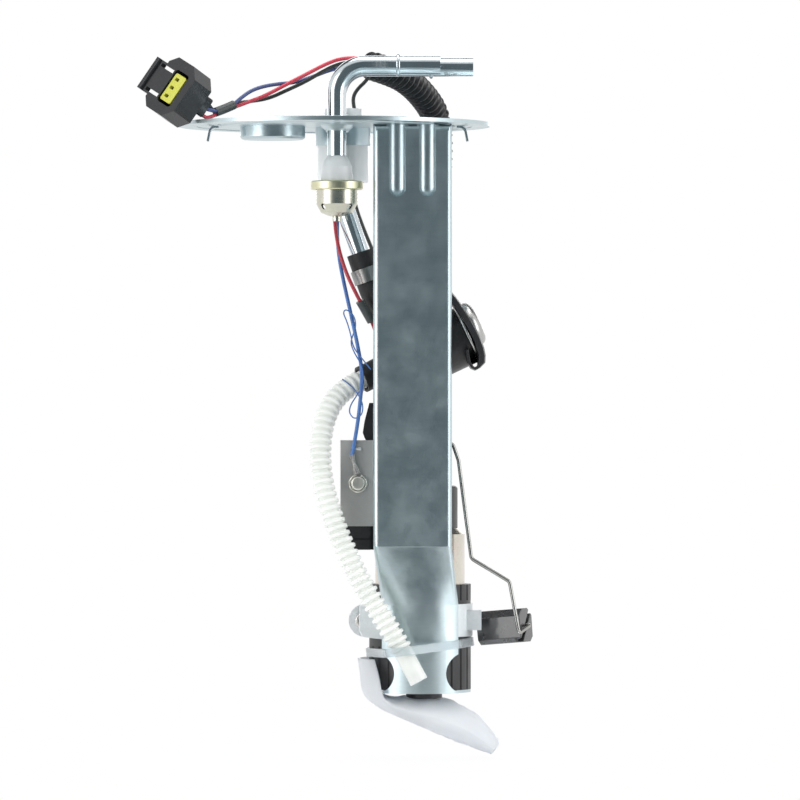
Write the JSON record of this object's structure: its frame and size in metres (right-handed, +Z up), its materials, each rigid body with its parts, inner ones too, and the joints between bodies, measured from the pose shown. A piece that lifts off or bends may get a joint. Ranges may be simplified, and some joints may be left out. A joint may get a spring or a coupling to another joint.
{
  "type": "in-tank fuel pump module",
  "caption": "Hanger fuel pump module: round tank plate with two tube ends, sheet bracket, pump, regulator, level float, filter sock and a wired plug.",
  "frame": {"origin": "centre of the round plate, in the plane of the face that seats on the tank", "axes": "+Z up out of the tank, -Y towards the bracket's web, +X the way the tube ends point"},
  "size_m": [0.1676, 0.1348, 0.3004],
  "materials": {
    "zinc": "bright zinc plate, slightly blue",
    "tube_steel": "bright zinc plate on tube",
    "yellow_zinc": "yellow chromate zinc plate",
    "stainless": "plain stainless sheet",
    "spring_steel": "drawn wire",
    "regulator_steel": "drawn metal can",
    "iron": "stacked sheet iron",
    "magnet": "sintered ferrite",
    "copper": "copper alloy",
    "carbon": "pressed carbon",
    "ceramic": "ceramic card with printed track",
    "natural_plastic": "translucent white moulding",
    "black_plastic": "black moulding",
    "connector_grey": "dark grey moulding",
    "yellow_plastic": "yellow-green moulding",
    "black_rubber": "fuel hose rubber",
    "float_foam": "closed-cell foam",
    "hose_plastic": "translucent corrugated hose",
    "sock_mesh": "woven filter mesh",
    "strap_clear": "clear strap",
    "loom_plastic": "corrugated loom",
    "wire_red": "wire insulation",
    "wire_blue": "wire insulation",
    "wire_black": "wire insulation",
    "sleeve_black": "tape and shrink sleeve"
  },
  "bodies": {
    "module": {"flange_plate": "zinc", "locating_tabs": "zinc", "return_tube": "tube_steel", "supply_tube": "tube_steel", "valve_dome": "natural_plastic", "valve_ring": "yellow_zinc", "valve_cup": "regulator_steel", "valve_spring": "spring_steel", "bulkhead_body": "natural_plastic", "bulkhead_seal": "black_rubber", "hanger_bracket": "zinc", "pump_can": "yellow_zinc", "pump_end_cap": "black_plastic", "pump_inlet_cap": "black_plastic", "magnets": "magnet", "brushes": "carbon", "pump_sleeve": "black_rubber", "clamp_band": "zinc", "ear_screw": "zinc", "ear_nut": "zinc", "zip_tie": "strap_clear", "regulator_housing": "black_plastic", "regulator_can": "regulator_steel", "regulator_strap": "black_plastic", "supply_hose": "black_rubber", "outlet_hose": "black_rubber", "hose_clamps": "zinc", "elbow_sleeve": "black_rubber", "return_hose": "hose_plastic", "sender_plate": "stainless", "sender_body": "black_plastic", "resistor_card": "ceramic", "sender_screw": "stainless", "screw_washer": "stainless", "strainer_fitting": "black_plastic", "strainer_sock": "sock_mesh", "connector_housing": "connector_grey", "connector_insert": "yellow_plastic", "connector_terminals": "copper", "tape_sleeve": "sleeve_black", "lead_red": "wire_red", "lead_blue": "wire_blue", "lead_black": "wire_black", "loom": "loom_plastic", "tail_red": "wire_red", "tail_blue": "wire_blue", "wire_red": "wire_red", "wire_blue": "wire_blue", "wire_black": "wire_black", "wire_sleeve": "sleeve_black", "pigtail": "regulator_steel"},
    "float_arm": {"float_arm": "spring_steel", "arm_hub": "black_plastic", "wiper": "copper", "float": "float_foam"},
    "rotor": {"armature_shaft": "spring_steel", "armature": "iron", "commutator": "copper", "impeller": "black_plastic"},
    "poppet": {"valve_poppet": "black_plastic"}
  },
  "joints": [
    {"name": "float_hinge", "type": "hinge", "parent": "module", "child": "float_arm", "pos_m": [0.023, -0.0126, -0.1451], "axis": [0, -1, 0], "range_deg": [0, 75]},
    {"name": "pump_spin", "type": "hinge", "parent": "module", "child": "rotor", "pos_m": [0.0365, 0, -0.2], "axis": [0, 0, 1], "continuous": true},
    {"name": "check_valve_slide", "type": "slide", "parent": "module", "child": "poppet", "axis": [0, 0, -1], "range_m": [0, 0.002], "stiffness_N_per_m": 60, "deforming": ["valve_spring"]}
  ]
}
